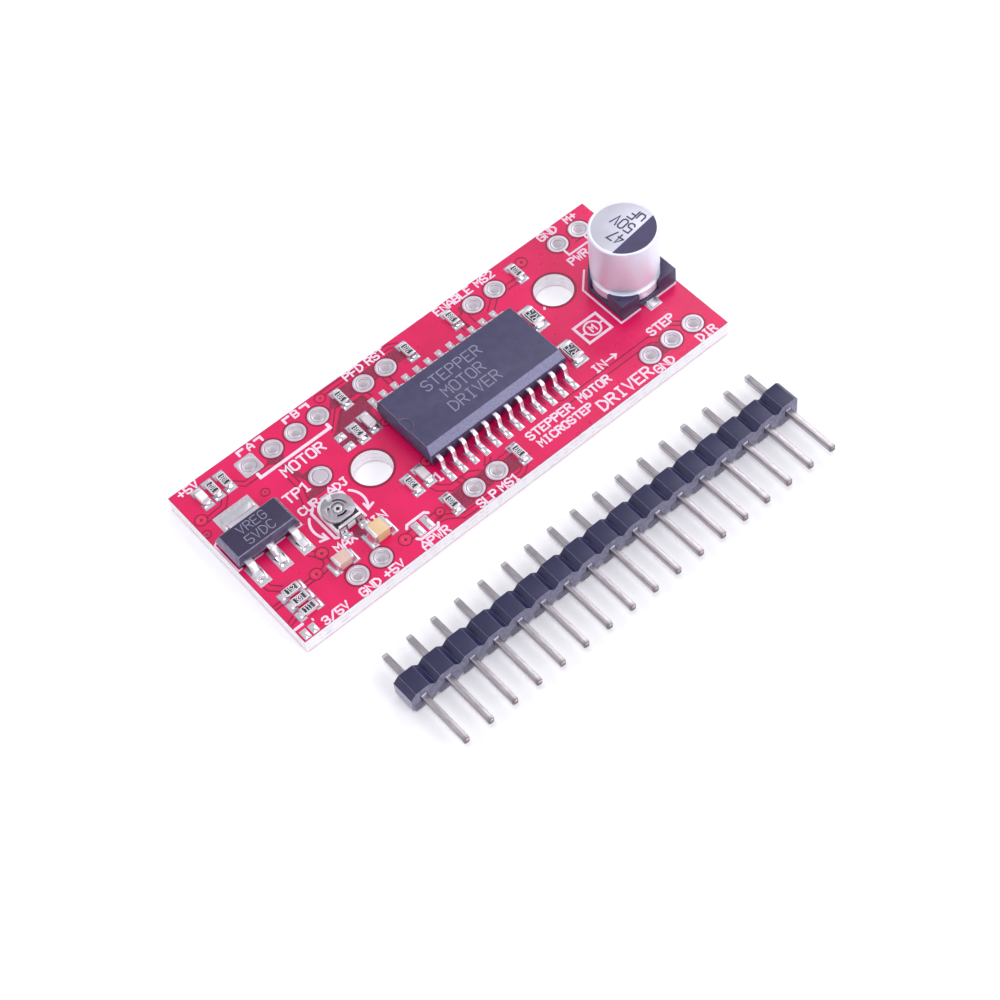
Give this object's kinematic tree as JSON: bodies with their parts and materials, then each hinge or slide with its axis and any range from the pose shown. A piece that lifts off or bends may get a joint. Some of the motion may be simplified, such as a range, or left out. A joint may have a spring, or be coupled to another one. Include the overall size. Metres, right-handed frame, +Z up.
{
  "type": "stepper driver module",
  "caption": "Small red stepper motor driver board with a wide driver chip, regulator, trimmer, electrolytic capacitor, pin holes and a loose header strip.",
  "frame": {"origin": "centre of the circuit board's flat underside", "axes": "+X along the board's length towards the electrolytic capacitor, +Y towards the row of motor and power pins, +Z up out of the component side"},
  "size_m": [0.0476, 0.0353, 0.0089],
  "materials": {
    "solder_mask": "satin red solder mask",
    "black_epoxy": "fine matte moulded epoxy",
    "tinned_copper": "bright tinned metal",
    "silicon": "polished",
    "can_aluminium": "satin drawn aluminium",
    "base_plastic": "satin black",
    "seal_rubber": "matte",
    "wound_foil": "rolled paper and foil",
    "ceramic": "white glazed ceramic",
    "rotor_steel": "satin stamped metal",
    "rivet_brass": "plated",
    "resistor_coat": "dark glazed coating with tinned ends",
    "tan_ceramic": "tan ceramic with tinned ends",
    "led_lens": "milky moulded lens",
    "header_plastic": "satin black",
    "pin_metal": "plated square wire"
  },
  "bodies": {
    "board": {"cap_base": "base_plastic", "cap_can": "can_aluminium", "cap_lead_negative": "tinned_copper", "cap_lead_positive": "tinned_copper", "cap_seal": "seal_rubber", "cap_wound_element": "wound_foil", "capacitor_supply_left": "tan_ceramic", "capacitor_supply_right": "tan_ceramic", "capacitor_timing_back": "tan_ceramic", "capacitor_timing_front": "tan_ceramic", "driver_case": "black_epoxy", "driver_die": "silicon", "driver_die_pad": "tinned_copper", "driver_leads_back": "tinned_copper", "driver_leads_front": "tinned_copper", "pcb": "solder_mask", "power_led": "led_lens", "regulator_case": "black_epoxy", "regulator_lead_adjust": "tinned_copper", "regulator_lead_input": "tinned_copper", "regulator_tab": "tinned_copper", "resistor_adjust_a": "resistor_coat", "resistor_divider_a": "resistor_coat", "resistor_divider_b": "resistor_coat", "resistor_divider_c": "resistor_coat", "resistor_enable": "resistor_coat", "resistor_led": "resistor_coat", "resistor_mode_back": "resistor_coat", "resistor_mode_front": "resistor_coat", "resistor_reset": "resistor_coat", "resistor_sense_back": "resistor_coat", "resistor_sense_front": "resistor_coat", "resistor_sleep": "resistor_coat", "resistor_timing_back": "resistor_coat", "resistor_timing_front": "resistor_coat", "resistor_vref_back": "resistor_coat", "trimmer_base": "ceramic", "trimmer_rivet": "rivet_brass", "trimmer_terminal_left": "tinned_copper", "trimmer_terminal_right": "tinned_copper", "trimmer_terminal_wiper": "tinned_copper"},
    "rotor": {"trimmer_rotor": "rotor_steel"},
    "header": {"header_insulator": "header_plastic", "header_pin_01": "pin_metal", "header_pin_02": "pin_metal", "header_pin_03": "pin_metal", "header_pin_04": "pin_metal", "header_pin_05": "pin_metal", "header_pin_06": "pin_metal", "header_pin_07": "pin_metal", "header_pin_08": "pin_metal", "header_pin_09": "pin_metal", "header_pin_10": "pin_metal", "header_pin_11": "pin_metal", "header_pin_12": "pin_metal", "header_pin_13": "pin_metal", "header_pin_14": "pin_metal", "header_pin_15": "pin_metal", "header_pin_16": "pin_metal", "header_pin_17": "pin_metal"}
  },
  "joints": [
    {"name": "trimmer_turn", "type": "hinge", "parent": "board", "child": "rotor", "pos_m": [-0.01404, -0.00185, 0.00262], "axis": [0, 0, 1], "range_deg": [-105, 105]},
    {"name": "header_lift", "type": "slide", "parent": "board", "child": "header", "axis": [0, 0, 1], "range_m": [0, 0.02]}
  ]
}
